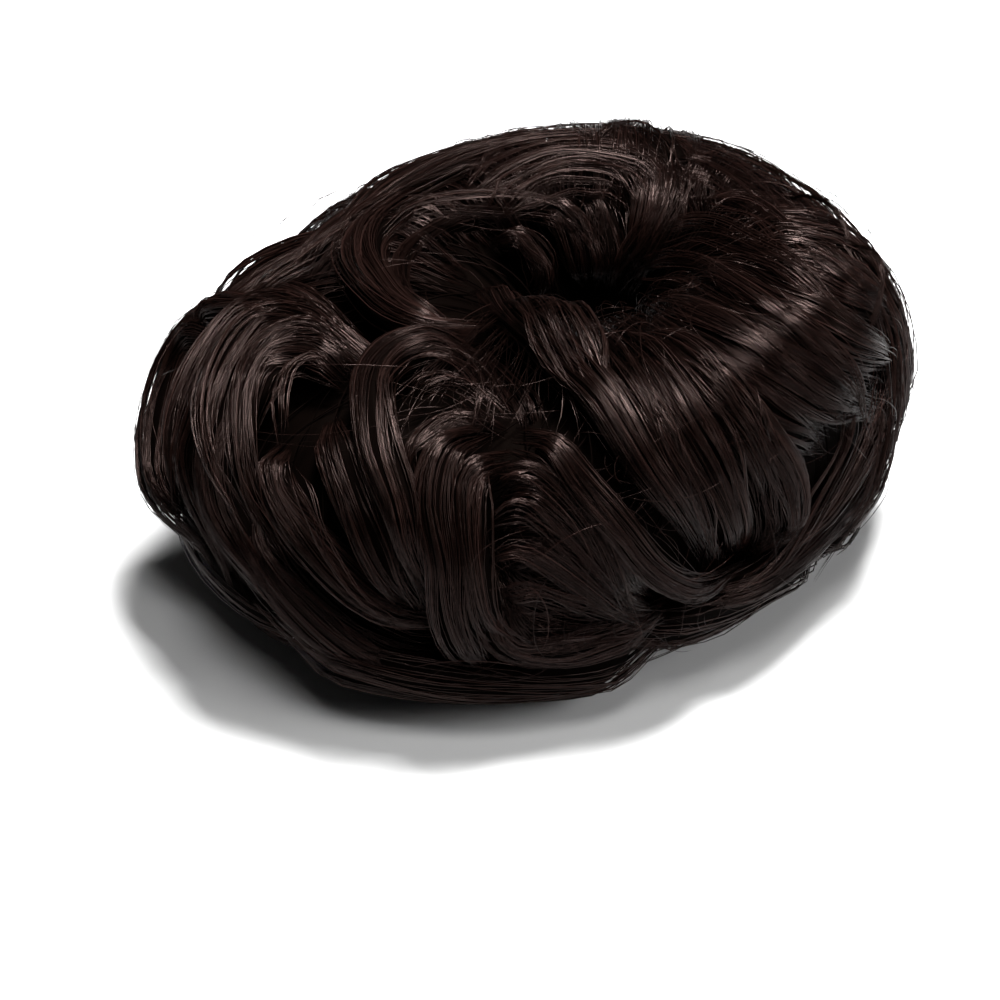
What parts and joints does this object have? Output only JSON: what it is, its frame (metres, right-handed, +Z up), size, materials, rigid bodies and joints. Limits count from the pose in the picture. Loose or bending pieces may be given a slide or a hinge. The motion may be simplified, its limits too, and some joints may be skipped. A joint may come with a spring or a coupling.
{
  "type": "top knot hairpiece",
  "caption": "Ring of wavy false-hair locks on a hidden elastic band that slips over a wearer's bun to make a full, messy top knot.",
  "frame": {"origin": "bottom centre of the hairpiece's box, on the surface that it rests on", "axes": "+Z up through the hollow for the bun; +X along the longer side of the box; the front shown in the picture faces -Y"},
  "size_m": [0.1458, 0.1348, 0.0636],
  "materials": {
    "hair": "glossy dark brown hair, in ridged locks of fine strands",
    "under_hair": "dark brown hair in shade, loose strands",
    "band": "black covered elastic, woven"
  },
  "bodies": {
    "root": {"hair_base": "under_hair", "elastic_band": "band", "rim_lock_1": "hair", "rim_lock_2": "hair", "rim_lock_3": "hair", "rim_lock_4": "hair", "rim_lock_5": "hair", "rim_lock_6": "hair", "rim_lock_7": "hair", "rim_lock_8": "hair", "back_lock_1": "hair", "back_lock_2": "hair", "back_lock_3": "hair", "back_lock_4": "hair", "back_lock_5": "hair", "back_lock_6": "hair", "back_lock_7": "hair", "back_lock_8": "hair", "back_lock_9": "hair", "back_lock_10": "hair", "far_left_roll": "hair", "left_bump": "hair", "low_left_sweep": "hair", "pit_curl": "hair", "outer_wave": "hair", "middle_wave": "hair", "inner_wave": "hair", "top_left_sweep": "hair", "back_fluff": "hair", "top_right_curl": "hair", "right_rim": "hair", "inner_drop": "hair", "top_fan": "hair", "low_fan": "hair", "upper_fan": "hair", "middle_fan": "hair", "thin_top_lock": "hair", "top_curl": "hair", "small_top_curl": "hair", "eye_wall": "hair", "eye_curl": "hair", "inner_swirl": "hair", "outer_swirl": "hair", "inner_front_fan": "hair", "bottom_rim_lock": "hair", "front_fan": "hair", "right_front_fall": "hair", "left_front_fall": "hair", "pit_fall": "hair", "crown_fill": "hair", "ear_lining": "hair", "ear_lock": "hair", "outer_drop": "hair", "diagonal_band": "hair", "crown_drop": "hair"}
  },
  "joints": []
}
